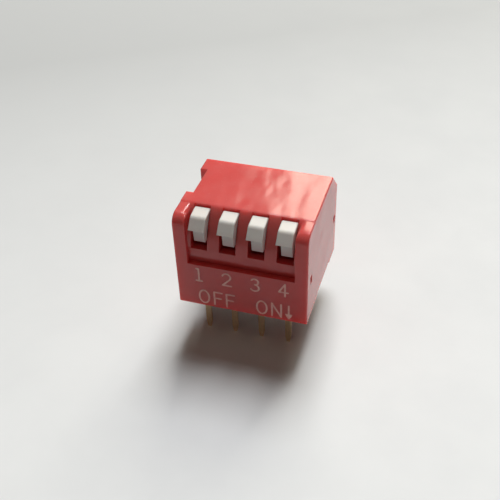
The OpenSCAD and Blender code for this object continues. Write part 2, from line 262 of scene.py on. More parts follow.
@dataclass(frozen=True)
class EffectLibrary:
    """Builds each shared effect once, as a node group on Object coordinates.

    Each span is the range of a noise or a direction that is stretched over the whole mask.
    """

    flow: Place = (1.0, 0.5, 0.7)
    wave_detail: float = 1.6
    wave_roughness: float = 0.42
    fine_detail: float = 2.0
    patch_detail: float = 4.0
    patch_roughness: float = 0.6
    convex: Span = (0.52, 0.6)
    broken: Span = (0.42, 0.66)
    slow: Span = (0.3, 0.7)
    upward: Span = (0.3, 0.9)
    specks: Span = (0.66, 0.76)
    film: Span = (0.4, 0.75)
    film_scale: float = 260.0
    film_strength: Span = (0.0, 0.35)

    def add(self, tree: Tree, pattern: Pattern, values: dict[str, float]) -> Socket:
        """Places an effect in a material.

        Args:
            tree: the material's tree.
            pattern: which effect.
            values: the material's own values for the group's inputs.

        Returns:
            The group's output.
        """
        node = tree.add("ShaderNodeGroup", node_tree=self._group(pattern))
        for name, value in values.items():
            node.inputs[name].default_value = value
        return node.outputs[0]

    def _group(self, pattern: Pattern) -> bpy.types.NodeTree:
        """Finds the group of a pattern, or builds it on its first use.

        Args:
            pattern: which effect.

        Returns:
            The node group.
        """
        found = bpy.data.node_groups.get(pattern.value)
        if found:
            return found
        group = bpy.data.node_groups.new(pattern.value, "ShaderNodeTree")
        fill = {
            Pattern.MOULD: self._moulded_surface,
            Pattern.SCUFF: self._edge_scuff,
            Pattern.BLOTCH: self._colour_blotch,
            Pattern.DUST: self._settled_dust,
        }[pattern]
        fill(group)
        return group

    @staticmethod
    def _sockets(group: bpy.types.NodeTree, inputs: dict[str, float],
                 output: str) -> tuple[Tree, bpy.types.NodeOutputs, Socket]:
        """Declares a group's sockets.

        Args:
            group: the empty group.
            inputs: name to default value of each input.
            output: name of the output.

        Returns:
            The tree, the inner input sockets by name, and the inner output socket.
        """
        for name, value in inputs.items():
            socket = group.interface.new_socket(
                name, in_out="INPUT", socket_type="NodeSocketFloat")
            socket.default_value = value
        group.interface.new_socket(output, in_out="OUTPUT", socket_type="NodeSocketFloat")
        tree = Tree.of(group)
        given = tree.add("NodeGroupInput").outputs
        return tree, given, tree.add("NodeGroupOutput").inputs[output]

    def _moulded_surface(self, group: bpy.types.NodeTree) -> None:
        """Height of a moulded skin in metres: broad sink waves, plus a fine grain.

        Args:
            group: the empty group.
        """
        tree, given, out = self._sockets(group, {
            "Wave Scale": 300.0, "Wave Depth": 20.0 * MICRON,
            "Grain Scale": 9000.0, "Grain Depth": 0.0}, "Height")
        place = tree.place()
        flow = tree.stretched(place, self.flow)
        wave = tree.noise(flow, given["Wave Scale"], self.wave_detail, self.wave_roughness)
        wave = tree.math("MULTIPLY", wave, given["Wave Depth"])
        grain = tree.noise(place, given["Grain Scale"], self.fine_detail)
        grain = tree.math("MULTIPLY", grain, given["Grain Depth"])
        tree.feed(out, tree.math("ADD", wave, grain))

    def _edge_scuff(self, group: bpy.types.NodeTree) -> None:
        """Mask of rubbed edges: convex places, broken up by noise.

        Args:
            group: the empty group.
        """
        tree, given, out = self._sockets(group, {"Amount": 0.5, "Scale": 900.0}, "Mask")
        pointed = tree.add("ShaderNodeNewGeometry").outputs["Pointiness"]
        patches = tree.noise(
            tree.place(), given["Scale"], self.patch_detail, self.patch_roughness)
        rubbed = tree.math(
            "MULTIPLY", tree.remap(pointed, self.convex), tree.remap(patches, self.broken))
        tree.feed(out, tree.math("MULTIPLY", rubbed, given["Amount"], clamp=True))

    def _colour_blotch(self, group: bpy.types.NodeTree) -> None:
        """Mask of slow variation over a surface, from 0 to 1.

        Args:
            group: the empty group.
        """
        tree, given, out = self._sockets(group, {"Scale": 350.0, "Contrast": 1.0}, "Mask")
        patches = tree.noise(
            tree.place(), given["Scale"], self.patch_detail, self.patch_roughness)
        slow = tree.remap(patches, self.slow)
        tree.feed(out, tree.math("MULTIPLY", slow, given["Contrast"], clamp=True))

    def _settled_dust(self, group: bpy.types.NodeTree) -> None:
        """Mask of dust on faces that look up: specks or a film, times the normal's height.

        Args:
            group: the empty group.
        """
        tree, given, out = self._sockets(group, {"Amount": 0.3, "Scale": 2500.0}, "Mask")
        place = tree.place()
        normal = tree.add("ShaderNodeNewGeometry").outputs["Normal"]
        upward = tree.remap(tree.part(normal, "Z"), self.upward)
        specks = tree.noise(place, given["Scale"], self.fine_detail)
        film = tree.remap(tree.noise(place, self.film_scale), self.film, self.film_strength)
        dust = tree.math("MAXIMUM", tree.remap(specks, self.specks), film)
        dust = tree.math("MULTIPLY", dust, upward)
        tree.feed(out, tree.math("MULTIPLY", dust, given["Amount"], clamp=True))


EFFECTS = EffectLibrary()


# ---------------------------------------------------------------------------
# Finishes
# ---------------------------------------------------------------------------


@dataclass(frozen=True)
class Finish(ABC):
    """A material that is made once and then shared."""

    name: str

    def build(self) -> bpy.types.Material:
        """Makes the material on the first call.

        Returns:
            The material.
        """
        found = bpy.data.materials.get(self.name)
        if found:
            return found
        material = bpy.data.materials.new(self.name)
        material.use_nodes = True
        self._fill(Tree.of(material.node_tree))
        return material

    @abstractmethod
    def _fill(self, tree: Tree) -> None:
        """Adds the finish's nodes to its empty tree."""


@dataclass(frozen=True)
class MouldedPlastic(Finish):
    """An injection-moulded plastic: a wavy or grained skin, faint blotches, scuffs, dust and
    painted shade at its foot.

    Foot is the colour of painted shade, tinted by painted red bounce light, that grows from
    foot_high down to foot_low on the piece.
    """

    base: Color
    blotch: Color
    scuff: Color
    roughness: float = 0.25
    roughness_spread: float = 0.08
    wave_scale: float = 300.0
    wave_depth: float = 0.0
    grain_scale: float = 9000.0
    grain_depth: float = 0.0
    blotch_scale: float = 420.0
    scuff_amount: float = 0.3
    scuff_scale: float = 1400.0
    scuff_roughness: float = 0.25
    dust: Color = (0.78, 0.76, 0.73)
    dust_amount: float = 0.2
    dust_scale: float = 7000.0
    dust_roughness: float = 0.4
    translucency: float = 0.0
    glow: Color = (1.0, 0.5, 0.4)
    glow_depth: float = 0.6 * MM
    ior: float = 1.5
    foot: Color = (0.5, 0.5, 0.5)
    foot_low: float = 0.0
    foot_high: float = 1.0 * MM
    foot_amount: float = 0.0
    foot_patches: Span = (0.8, 1.0)

    def _fill(self, tree: Tree) -> None:
        """Lays blotches, the painted shade at the foot, scuffs and dust over each other.

        Args:
            tree: the material's empty tree.
        """
        blotch = EFFECTS.add(tree, Pattern.BLOTCH, {"Scale": self.blotch_scale, "Contrast": 1.0})
        scuff = EFFECTS.add(
            tree, Pattern.SCUFF, {"Amount": self.scuff_amount, "Scale": self.scuff_scale})
        dust = EFFECTS.add(
            tree, Pattern.DUST, {"Amount": self.dust_amount, "Scale": self.dust_scale})
        skin = EFFECTS.add(tree, Pattern.MOULD, {
            "Wave Scale": self.wave_scale, "Wave Depth": self.wave_depth,
            "Grain Scale": self.grain_scale, "Grain Depth": self.grain_depth})
        color = tree.mix(blotch, rgba(self.base), rgba(self.blotch))
        if self.foot_amount > 0.0:
            # Painted shade: the colour turns darker and pinker towards the foot of the piece.
            color = tree.mix(self._stain(tree, blotch), color, rgba(self.foot))
        color = tree.mix(scuff, color, rgba(self.scuff))
        color = tree.mix(dust, color, rgba(self.dust))
        half = self.roughness_spread / 2.0
        rough = tree.remap(blotch, WHOLE, (self.roughness - half, self.roughness + half))
        rough = tree.math("ADD", rough, tree.math("MULTIPLY", scuff, self.scuff_roughness))
        rough = tree.math(
            "ADD", rough, tree.math("MULTIPLY", dust, self.dust_roughness), clamp=True)
        tree.surface({
            "Base Color": color, "Roughness": rough, "IOR": self.ior, "Normal": tree.bump(skin),
            "Subsurface Weight": self.translucency, "Subsurface Radius": self.glow,
            "Subsurface Scale": self.glow_depth})

    def _stain(self, tree: Tree, blotch: Socket) -> Socket:
        """Mask of the painted shade at the foot of the piece, broken up by the blotches.

        Args:
            tree: the material's tree.
            blotch: the blotches' mask.

        Returns:
            The stain's mask.
        """
        height = tree.part(tree.place(), "Z")
        low = tree.remap(height, (self.foot_low, self.foot_high), (self.foot_amount, 0.0))
        patches = tree.remap(blotch, WHOLE, self.foot_patches)
        return tree.math("MULTIPLY", low, patches, clamp=True)


@dataclass(frozen=True)
class PlatedMetal(Finish):
    """Rolled and plated strip: fine drawing lines along the strip, tarnish and rubbed edges."""

    base: Color
    tarnish: Color
    roughness: float = 0.28
    line_scale: float = 30000.0
    line_stretch: Place = (1.0, 1.0, 0.04)
    line_detail: float = 2.0
    line_span: Span = (0.3, 0.7)
    line_depth: float = 1.5 * MICRON
    line_gloss: float = 0.06
    line_dull: float = 0.08
    tarnish_scale: float = 700.0
    tarnish_amount: float = 0.8
    tarnish_roughness: float = 0.12
    scuff_amount: float = 0.5
    scuff_scale: float = 2500.0
    scuff_gain: float = 1.25

    def _fill(self, tree: Tree) -> None:
        """Draws the lines along Z and lays tarnish and scuffs over the plating.

        Args:
            tree: the material's empty tree.
        """
        place = tree.stretched(tree.place(), self.line_stretch)
        lines = tree.noise(place, self.line_scale, self.line_detail)
        tarnish = EFFECTS.add(
            tree, Pattern.BLOTCH, {"Scale": self.tarnish_scale, "Contrast": self.tarnish_amount})
        scuff = EFFECTS.add(
            tree, Pattern.SCUFF, {"Amount": self.scuff_amount, "Scale": self.scuff_scale})
        rubbed = tuple(min(1.0, part * self.scuff_gain) for part in self.base)
        color = tree.mix(tarnish, rgba(self.base), rgba(self.tarnish))
        color = tree.mix(scuff, color, rgba(rubbed))
        rough = tree.remap(lines, self.line_span, (
            self.roughness - self.line_gloss, self.roughness + self.line_dull))
        rough = tree.math(
            "ADD", rough, tree.math("MULTIPLY", tarnish, self.tarnish_roughness), clamp=True)
        height = tree.math("MULTIPLY", lines, self.line_depth)
        tree.surface({
            "Base Color": color, "Metallic": 1.0, "Roughness": rough,
            "Normal": tree.bump(height)})


@dataclass(frozen=True)
class PrintInk(Finish):
    """Thin pad-printed ink that lets a little of the plastic through where it is worn."""

    ink: Color
    under: Color
    wear_scale: float = 2600.0
    wear_detail: float = 4.0
    wear_roughness: float = 0.65
    wear_span: Span = (0.42, 0.72)
    wear_strength: Span = (0.0, 0.75)
    gloss: Span = (0.6, 0.4)
    grain_scale: float = 14000.0
    grain_detail: float = 2.0
    grain_depth: float = 2.0 * MICRON

    def _fill(self, tree: Tree) -> None:
        """Mixes the ink with the colour under it by the wear.

        Args:
            tree: the material's empty tree.
        """
        place = tree.place()
        wear = tree.noise(place, self.wear_scale, self.wear_detail, self.wear_roughness)
        thin = tree.remap(wear, self.wear_span, self.wear_strength)
        grain = tree.noise(place, self.grain_scale, self.grain_detail)
        tree.surface({
            "Base Color": tree.mix(thin, rgba(self.ink), rgba(self.under)),
            "Roughness": tree.remap(thin, WHOLE, self.gloss),
            "Normal": tree.bump(tree.math("MULTIPLY", grain, self.grain_depth))})


@dataclass(frozen=True)
class TableTop(Finish):
    """A plain pale laminate: a faint cloudiness, and a painted falloff of light that darkens it to
    the back left.

    The part in front of the object sends it less light than it shows, as the floor of a room does
    where the viewer stands.
    """

    name: str = "pale_laminate"
    light: Color = (0.758, 0.789, 0.822)
    dark: Color = (0.727, 0.757, 0.791)
    cloud_scale: float = 120.0
    distant: Color = (0.466, 0.485, 0.503)
    heading: Place = (-0.5, 0.866, 0.0)
    fall: Span = (-25.0 * MM, 60.0 * MM)
    fall_power: float = 1.35
    shaded: Color = (0.20, 0.20, 0.20)
    shade: Span = (-34.0 * MM, -18.0 * MM)
    gloss: Span = (0.6, 0.75)
    ior: float = 1.2

    def _fill(self, tree: Tree) -> None:
        """Clouds the laminate, paints a falloff of light along the heading, and shades what it
        sends forward.

        Args:
            tree: the material's empty tree.
        """
        cloud = EFFECTS.add(tree, Pattern.BLOTCH, {"Scale": self.cloud_scale, "Contrast": 1.0})
        color = tree.mix(cloud, rgba(self.light), rgba(self.dark))
        place = tree.place()
        away = tree.add(
            "ShaderNodeVectorMath", {0: place, 1: self.heading}, operation="DOT_PRODUCT")
        far = tree.remap(away.outputs["Value"], self.fall)
        # Painted falloff of light: the floor is painted darker along the heading.
        color = tree.mix(tree.math("POWER", far, self.fall_power), color, rgba(self.distant))
        forward = tree.remap(tree.part(place, "Y"), self.shade, (1.0, 0.0))
        bounce = tree.add("ShaderNodeLightPath").outputs["Is Diffuse Ray"]
        color = tree.mix(tree.math("MULTIPLY", forward, bounce), color, rgba(self.shaded))
        tree.surface({
            "Base Color": color, "Roughness": tree.remap(cloud, WHOLE, self.gloss),
            "IOR": self.ior})


RED_COVER = MouldedPlastic(
    name="red_gloss_plastic",
    base=(0.62, 0.072, 0.070), blotch=(0.59, 0.064, 0.062), scuff=(0.74, 0.2, 0.18),
    roughness=0.16, roughness_spread=0.05,
    wave_scale=460.0, wave_depth=100.0 * MICRON, grain_scale=5000.0, grain_depth=0.4 * MICRON,
    scuff_amount=0.3, dust_amount=0.12,
    translucency=0.7, glow=(1.0, 0.22, 0.18), glow_depth=2.2 * MM, ior=1.46)
RED_BASE = MouldedPlastic(
    name="red_base_plastic",
    base=(0.52, 0.062, 0.060), blotch=(0.47, 0.055, 0.053), scuff=(0.6, 0.12, 0.12),
    roughness=0.34,
    wave_scale=500.0, wave_depth=10.0 * MICRON, grain_scale=6000.0, grain_depth=1.0 * MICRON,
    scuff_amount=0.2, dust_amount=0.1)
IVORY_LEVER = MouldedPlastic(
    name="ivory_lever_plastic",
    base=(0.70, 0.69, 0.67), blotch=(0.67, 0.655, 0.63), scuff=(0.66, 0.62, 0.56),
    roughness=0.5, roughness_spread=0.1,
    wave_scale=900.0, wave_depth=12.0 * MICRON, grain_scale=6000.0, grain_depth=1.0 * MICRON,
    scuff_amount=0.25, dust_amount=0.1,
    translucency=0.2, glow=(1.0, 0.75, 0.55), glow_depth=0.5 * MM,
    # The lower arms are painted darker and pinker: painted shade and painted red bounce light.
    foot=(0.455, 0.26, 0.265), foot_low=6.8 * MM, foot_high=8.5 * MM, foot_amount=0.9)
SEAL_RESIN = MouldedPlastic(
    name="black_seal_resin",
    base=(0.022, 0.02, 0.02), blotch=(0.035, 0.03, 0.028), scuff=(0.1, 0.09, 0.085),
    roughness=0.3, roughness_spread=0.2,
    wave_scale=700.0, wave_depth=60.0 * MICRON,
    scuff_amount=0.2, dust_amount=0.3)
GOLD_PLATE = PlatedMetal(
    name="gold_plated_strip", base=(0.73, 0.57, 0.37), tarnish=(0.54, 0.385, 0.24))
CLIP_METAL = PlatedMetal(
    name="spring_clip_metal", base=(0.86, 0.66, 0.34), tarnish=(0.7, 0.48, 0.22), roughness=0.22)
PALE_INK = PrintInk(name="pale_print_ink", ink=(0.95, 0.56, 0.50), under=(0.72, 0.20, 0.18))


# ---------------------------------------------------------------------------
# Shapes
# ---------------------------------------------------------------------------


def new_piece(name: str, mesh: bpy.types.Mesh, finish: Finish) -> bpy.types.Object:
    """Links a mesh as an object at the origin, with one material.

    Args:
        name: the piece's name.
        mesh: its mesh, in place.
        finish: its finish.

    Returns:
        The new piece.
    """
    mesh.materials.clear()
    mesh.materials.append(finish.build())
    piece = bpy.data.objects.new(name, mesh)
    bpy.context.scene.collection.objects.link(piece)
    return piece


def evenly(middles: np.ndarray) -> np.ndarray:
    """Gives every edge the full radius."""
    return np.full(len(middles), Edge.FULL.value)


@dataclass(frozen=True)
class Rounding:
    """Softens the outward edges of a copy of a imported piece.

    Width is the largest bevel, and grade gives each edge its share of it from the edges' middles
    (n, 3). A level split at the given height parts the faces that look along X, so that none of
    them has a hole in it. Its seams run along X by less than seam_run. Edges under the angle sharp
    stay as they are, and faces within the angle flat become one.
    """

    width: float
    grade: Grade = evenly
    segments: int = 2
    split: float | None = None
    split_reach: float = 0.0001 * MM
    seam_run: float = 0.0002 * MM
    sharp: float = math.radians(24.0)
    merge: float = 0.002 * MM
    flat: float = math.radians(0.3)

    def merged(self, source: bpy.types.Mesh, name: str) -> bpy.types.Mesh:
        """Copies a mesh of loose triangles, merges it into faces and weighs its edges.

        Args:
            source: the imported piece's mesh, which is left alone.
            name: the copy's name.

        Returns:
            The copy, with each outward edge's share of the width.
        """
        mesh = source.copy()
        mesh.name = name
        work = bmesh.new()
        work.from_mesh(mesh)
        bmesh.ops.remove_doubles(work, verts=work.verts, dist=self.merge)
        if self.split is not None:
            self._part_sides(work)
        bmesh.ops.dissolve_limit(
            work, angle_limit=self.flat, verts=work.verts, edges=work.edges, delimit={"SEAM"})
        angles = np.array(
            [edge.calc_face_angle(0.0) if edge.is_convex else 0.0 for edge in work.edges])
        ends = np.array([[tuple(vert.co) for vert in edge.verts] for edge in work.edges])
        shares = np.where(angles > self.sharp, self.grade(ends.mean(axis=1)), 0.0)
        layer = work.edges.layers.float.new("bevel_weight_edge")
        for edge, share in zip(work.edges, shares.tolist()):
            edge[layer] = share
        work.to_mesh(mesh)
        work.free()
        mesh.shade_smooth()
        mesh.set_sharp_from_angle(angle=self.sharp)
        return mesh

    def bevel(self, piece: bpy.types.Object) -> None:
        """Bevels a piece's weighed edges.

        Args:
            piece: a piece whose mesh merged made.
        """
        bevel = piece.modifiers.new("soft_edges", "BEVEL")
        bevel.limit_method = "WEIGHT"
        bevel.width = self.width
        bevel.segments = self.segments
        bevel.use_clamp_overlap = False
        bevel.harden_normals = True
        bevel.miter_outer = "MITER_ARC"

    def _part_sides(self, work: bmesh.types.BMesh) -> None:
        """Splits a mesh level, and keeps the split on faces that look along X.

        Args:
            work: the mesh under work.
        """
        sliced = bmesh.ops.bisect_plane(
            work, geom=[*work.verts, *work.edges, *work.faces], dist=self.split_reach,
            plane_co=(0.0, 0.0, self.split), plane_no=(0.0, 0.0, 1.0))
        for item in sliced["geom_cut"]:
            if isinstance(item, bmesh.types.BMEdge):
                run = abs(item.verts[0].co.x - item.verts[1].co.x)
                item.seam = run < self.seam_run


def grid_mesh(name: str, points: np.ndarray, close_rows: bool = True,
              cap_ends: bool = True) -> bpy.types.Mesh:
    """Turns a grid of points into a mesh of quads.

    Args:
        name: the mesh's name.
        points: (rows, columns, 3) in metres. A row runs around or across the surface.
        close_rows: joins the last column to the first.
        cap_ends: closes the first and the last row with one face each.

    Returns:
        The mesh.
    """
    rows, columns = points.shape[:2]
    index = np.arange(rows * columns).reshape(rows, columns)
    after = np.roll(index, -1, axis=1) if close_rows else index[:, 1:]
    before = index if close_rows else index[:, :-1]
    quads = np.stack([before[:-1], after[:-1], after[1:], before[1:]], axis=-1)
    faces = quads.reshape(-1, 4).tolist()
    if cap_ends:
        faces.append(index[0, ::-1].tolist())
        faces.append(index[-1].tolist())
    mesh = bpy.data.meshes.new(name)
    mesh.from_pydata(points.reshape(-1, 3).tolist(), [], faces)
    mesh.update()
    mesh.shade_smooth()
    return mesh


def joined(name: str, meshes: list[bpy.types.Mesh]) -> bpy.types.Mesh:
    """Joins closed meshes into one and turns its faces outwards.

    Args:
        name: the new mesh's name.
        meshes: the meshes, which are used up.

    Returns:
        The joined mesh.
    """
    work = bmesh.new()
    for mesh in meshes:
        work.from_mesh(mesh)
        bpy.data.meshes.remove(mesh)
    bmesh.ops.recalc_face_normals(work, faces=work.faces)
    result = bpy.data.meshes.new(name)
    work.to_mesh(result)
    work.free()
    result.shade_smooth()
    return result


# ---------------------------------------------------------------------------
# Sub-assemblies
# ---------------------------------------------------------------------------


@dataclass
class SubAssembly(ABC):
    """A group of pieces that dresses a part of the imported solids."""

    nodes: Nodes
    pieces: list[bpy.types.Object] = field(default_factory=list)

    @abstractmethod
    def build(self) -> None:
        """Makes the pieces."""

    def keep(self, piece: bpy.types.Object, body: str, slot: str) -> None:
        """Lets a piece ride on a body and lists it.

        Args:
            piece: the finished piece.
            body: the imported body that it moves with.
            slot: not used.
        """
        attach(piece, body)
        self.pieces.append(piece)

    def soften(self, node: str, name: str, rounding: Rounding,
               finish: Finish) -> bpy.types.Object:
        """Makes the softened piece that stands for a packed one.

        Args:
            node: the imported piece's name.
            name: the new piece's name.
            rounding: how its edges are softened.
            finish: its finish.

        Returns:
            The new piece.
        """
        piece = new_piece(name, rounding.merged(self.nodes[node].data, name), finish)
        rounding.bevel(piece)
        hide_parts(node)
        return piece


@dataclass
class Housing(SubAssembly):
    """The red cover and the red base that snaps into it.

    Post is the width of the two end posts, post_curve the height of their rounded tops and
    plate_back the depth of the bay behind the front face. Places within near of each other count
    as one. Window is the height of the split through the snap windows.
    """

    cover_round: float = 0.22 * MM
    cover_segments: int = 4
    base_round: float = 0.05 * MM
    post: float = 1.12 * MM
    post_curve: float = 1.3 * MM
    plate_back: float = 2.22 * MM
    near: float = 0.012 * MM
    window: float = 4.16 * MM
    low: Vector = field(init=False)
    high: Vector = field(init=False)

    def build(self) -> None:
        """Makes the softened cover and base."""
        self.low, self.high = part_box("cover")
        cover_edges = Rounding(
            self.cover_round, self._cover_grade, self.cover_segments, self.window)
        cover = self.soften("cover", "cover_shell", cover_edges, RED_COVER)
        base = self.soften("base", "base_tray", Rounding(self.base_round), RED_BASE)
        self.keep(cover, HOUSING_BODY, "red_cover")
        self.keep(base, HOUSING_BODY, "red_base")

    def _cover_grade(self, middles: np.ndarray) -> np.ndarray:
        """Outer corners get the large radii, and edges of the bay, slots and windows a small one.

        The rim of each end has one radius all the way round, because its edges run on smoothly.

        Args:
            middles: the edges' middles.

        Returns:
            The share of the full radius for each edge.
        """
        x, y, z = middles.T
        side = np.abs(x)
        end = np.abs(side - self.high.x) < self.near
        face = np.abs(y - self.low.y) < self.near
        back = np.abs(y - self.high.y) < self.near
        top = z > self.high.z - self.near
        foot = z < self.low.z + self.near
        outer = (end.astype(int) + face + back + top + foot) >= 2
        behind = y > self.low.y + self.plate_back - self.near
        between = side < self.high.x - self.post
        curved = z > self.high.z - self.post_curve
        post_top = curved & (side > self.high.x - self.post - self.near) & ~behind
        shares = np.full(len(x), Edge.CRISP.value)
        shares[(between & behind & ~top) | (foot & ~outer)] = Edge.HIDDEN.value
        shares[outer] = Edge.SOFT.value
        shares[post_top & ~end] = Edge.CRISP.value
        shares[end & ~foot & (face | back | curved)] = Edge.ROUND.value
        return shares


@dataclass
class LeverBank(SubAssembly):
    """The ivory levers, each with the clip that it carries.

    Pivot is the height of the stub pins, and head the height of a lever's head.
    """

    round: float = 0.12 * MM
    segments: int = 4
    pivot: float = 5.5 * MM
    head: float = 1.0 * MM
    top: float = field(init=False)

    def build(self) -> None:
        """Makes one softened lever for each position and finishes its clip."""
        edges = Rounding(self.round, self._grade, self.segments, self.pivot)
        for number in range(1, POSITIONS + 1):
            node = f"lever_{number}"
            self.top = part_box(node)[1].z
            rocker = self.soften(node, f"rocker_{number}", edges, IVORY_LEVER)
            self.keep(rocker, f"key_{number}", "ivory_lever")
            clip = self.nodes[f"contact_clip_{number}"].data
            clip.materials.clear()
            clip.materials.append(CLIP_METAL.build())

    def _grade(self, middles: np.ndarray) -> np.ndarray:
        """The head's edges are softest, and the arm, hub and tail are crisper."""
        in_head = middles[:, 2] > self.top - self.head
        return np.where(in_head, Edge.FULL.value, Edge.CRISP.value)


@dataclass
class TerminalRows(SubAssembly):
    """The two rows of plated pins, and the resin that seals them and climbs each one.

    Collar and rise are how far the resin's fillet reaches out from a pin and climbs it. It starts
    sunk in the pool and closes inward, by that share of the pin's thinner half. A pin stands clear
    of the housing at that depth under it.
    """

    pin_round: float = 0.035 * MM
    pool_round: float = 0.04 * MM
    collar: float = 0.16 * MM
    rise: float = 0.13 * MM
    sunk: float = 0.05 * MM
    inward: float = 0.5
    squareness: float = 6.0
    clear: float = 1.0 * MM
    steps: int = 10
    around: int = 48

    def build(self) -> None:
        """Makes the pins, the resin and the resin's collars."""
        terminals = [(row.value, number) for row in Row for number in range(1, POSITIONS + 1)]
        for row, number in terminals:
            pin = self.soften(
                f"{row}_terminal_{number}", f"{row}_pin_{number}", Rounding(self.pin_round),
                GOLD_PLATE)
            self.keep(pin, HOUSING_BODY, "plated_terminal")
        pool = self.soften(
            "terminal_seal", "resin_pool", Rounding(self.pool_round), SEAL_RESIN)
        rings = [self._collar(f"{row}_terminal_{number}") for row, number in terminals]
        collars = new_piece("resin_collars", joined("resin_collars", rings), SEAL_RESIN)
        for piece in (pool, collars):
            self.keep(piece, HOUSING_BODY, "seal_resin")

    def _collar(self, node: str) -> bpy.types.Mesh:
        """The resin that climbs one pin.

        A ring around the pin is a rounded rectangle, which is a superellipse. From the pool to
        the pin its offset shrinks and its height grows along a quarter circle, which leaves a
        hollow fillet.

        Args:
            node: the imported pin's name.

        Returns:
            A closed mesh.
        """
        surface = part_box("terminal_seal")[0].z
        centre, half = self._pin_section(node)
        turn = np.linspace(0.0, 2.0 * np.pi, self.around, endpoint=False)
        cosine, sine = np.cos(turn), np.sin(turn)
        power = self.squareness
        reach = (np.abs(cosine) ** power + np.abs(sine) ** power) ** (-1.0 / power)
        quarter = np.linspace(0.0, np.pi / 2.0, self.steps)
        offset = np.concatenate([
            [self.collar], self.collar * (1.0 - np.sin(quarter)), [-half.min() * self.inward]])
        depth = np.concatenate([
            [-self.sunk], self.rise * (1.0 - np.cos(quarter)), [self.rise]])
        points = np.empty((len(offset), self.around, 3))
        points[..., 0] = centre[0] + (half[0] + offset[:, None]) * cosine * reach
        points[..., 1] = centre[1] + (half[1] + offset[:, None]) * sine * reach
        points[..., 2] = surface - depth[:, None]
        return grid_mesh("collar", points)

    def _pin_section(self, node: str) -> tuple[np.ndarray, np.ndarray]:
        """Measures a pin where it stands clear below the housing.

        Args:
            node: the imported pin's name.

        Returns:
            Its centre and its half size, in X and Y.
        """
        mesh = self.nodes[node].data
        points = np.empty(len(mesh.vertices) * 3)
        mesh.vertices.foreach_get("co", points)
        points = points.reshape(-1, 3)
        below = points[points[:, 2] < -self.clear, :2]
        low, high = below.min(axis=0), below.max(axis=0)
        return (low + high) / 2.0, (high - low) / 2.0


def line(*points: tuple[float, float]) -> np.ndarray:
    """A straight stroke through the given points."""
    return np.array(points, float)


def bow(centre: tuple[float, float], radii: tuple[float, float], start: float, stop: float,
        count: int = 28) -> np.ndarray:
    """An elliptic stroke: centre plus the radii times the cosine and sine of the running angle.

    Args:
        centre: the ellipse's centre.
        radii: half width and half height.
        start: first angle in degrees.
        stop: last angle in degrees.
        count: number of points.

    Returns:
        The points, (count, 2).
    """
    angle = np.radians(np.linspace(start, stop, count))
    return np.stack(
        [centre[0] + radii[0] * np.cos(angle), centre[1] + radii[1] * np.sin(angle)], axis=1)


# The strokes of each character, in units of its height, about its middle and from its foot.
GLYPHS: dict[str, tuple[np.ndarray, ...]] = {
    "1": (line((-0.14, 1.0), (0.0, 1.0)),
          line((0.0, 1.0), (0.0, 0.0)),
          line((-0.2, 0.0), (0.2, 0.0))),
    "2": (np.concatenate([bow((0.0, 0.72), (0.27, 0.28), 165.0, -40.0), line((-0.28, 0.0))]),
          line((-0.28, 0.0), (0.3, 0.0))),
    "3": (bow((0.0, 0.76), (0.24, 0.24), 150.0, -80.0),
          bow((-0.02, 0.27), (0.29, 0.27), 85.0, -150.0)),
    "4": (line((0.1, 1.0), (-0.3, 0.32)),
          line((-0.3, 0.32), (0.3, 0.32)),
          line((0.1, 1.0), (0.1, 0.0))),
    "O": (bow((0.0, 0.5), (0.31, 0.5), 90.0, 450.0, 48),),
    "N": (line((-0.28, 0.0), (-0.28, 1.0)),
          line((-0.28, 1.0), (0.28, 0.0)),
          line((0.28, 0.0), (0.28, 1.0))),
    "F": (line((-0.24, 0.0), (-0.24, 1.0)),
          line((-0.24, 1.0), (0.26, 1.0)),
          line((-0.24, 0.53), (0.18, 0.53))),
    "down": (line((0.0, 1.0), (0.0, 0.02)),
             line((-0.17, 0.3), (0.0, 0.0)),
             line((0.17, 0.3), (0.0, 0.0)),
             line((-0.11, 0.27), (0.0, 0.06)),
             line((0.11, 0.27), (0.0, 0.06)),
             line((-0.14, 0.29), (0.14, 0.29))),
}


@dataclass(frozen=True)
class Spot:
    """Where a character stands on the front face: its middle, its foot and its height."""

    middle: float
    foot: float
    height: float


